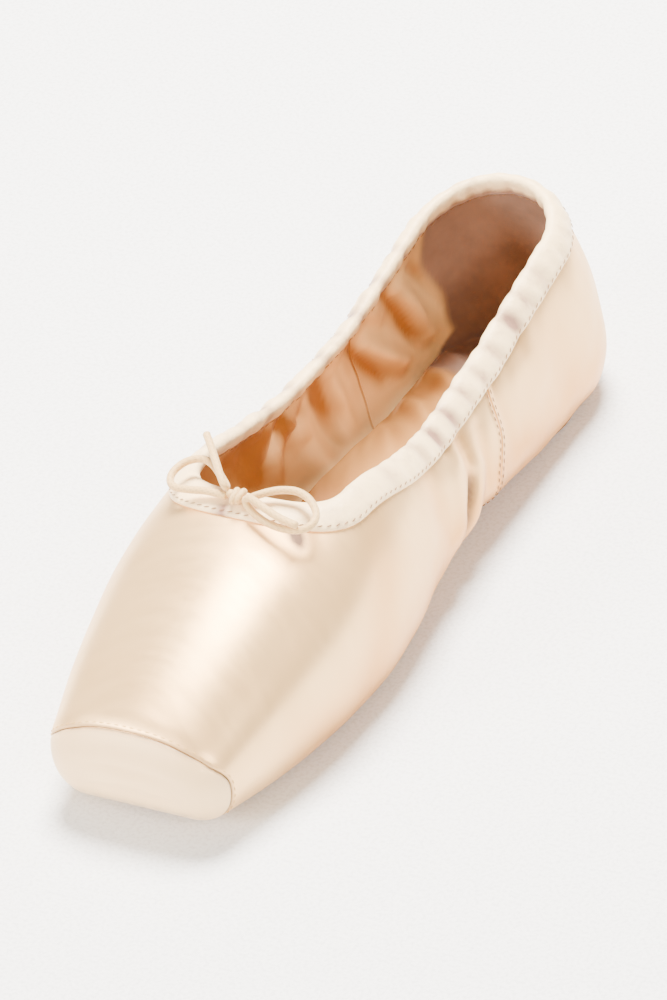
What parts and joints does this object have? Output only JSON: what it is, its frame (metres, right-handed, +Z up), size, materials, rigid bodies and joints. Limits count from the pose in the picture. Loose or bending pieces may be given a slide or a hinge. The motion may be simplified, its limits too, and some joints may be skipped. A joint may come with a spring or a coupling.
{
  "type": "pointe shoe",
  "caption": "Satin pointe shoe with a stiff box and flat platform, drawstring casing and bow round the collar, and a leather sole split between forefoot and heel.",
  "frame": {"origin": "on the ground, under the middle of the shoe's box without its drawstring", "axes": "+Y runs from the toe platform to the heel, +Z up, +X to the side nearer the camera"},
  "size_m": [0.078, 0.238, 0.0674],
  "materials": {
    "satin": "peach satin with a soft lengthwise sheen",
    "toe_satin": "plain satin over the platform, duller than the vamp",
    "casing_satin": "folded satin casing, gathered and stitched",
    "strip_satin": "satin strip stitched along both edges",
    "insole_leather": "smooth brown board and lining",
    "sole_leather": "tan leather, matt, grooved in part",
    "heel_leather": "light tan leather, matt, grooved",
    "cord_elastic": "braided elastic cord, cream"
  },
  "bodies": {
    "root": {"upper": "satin", "toe_piece": "toe_satin", "binding": "casing_satin", "heel_strip": "strip_satin", "insole": "insole_leather", "outsole_forefoot": "sole_leather", "outsole_heel": "heel_leather", "drawstring_right": "cord_elastic", "drawstring_left": "cord_elastic", "drawstring_knot": "cord_elastic"}
  },
  "joints": []
}
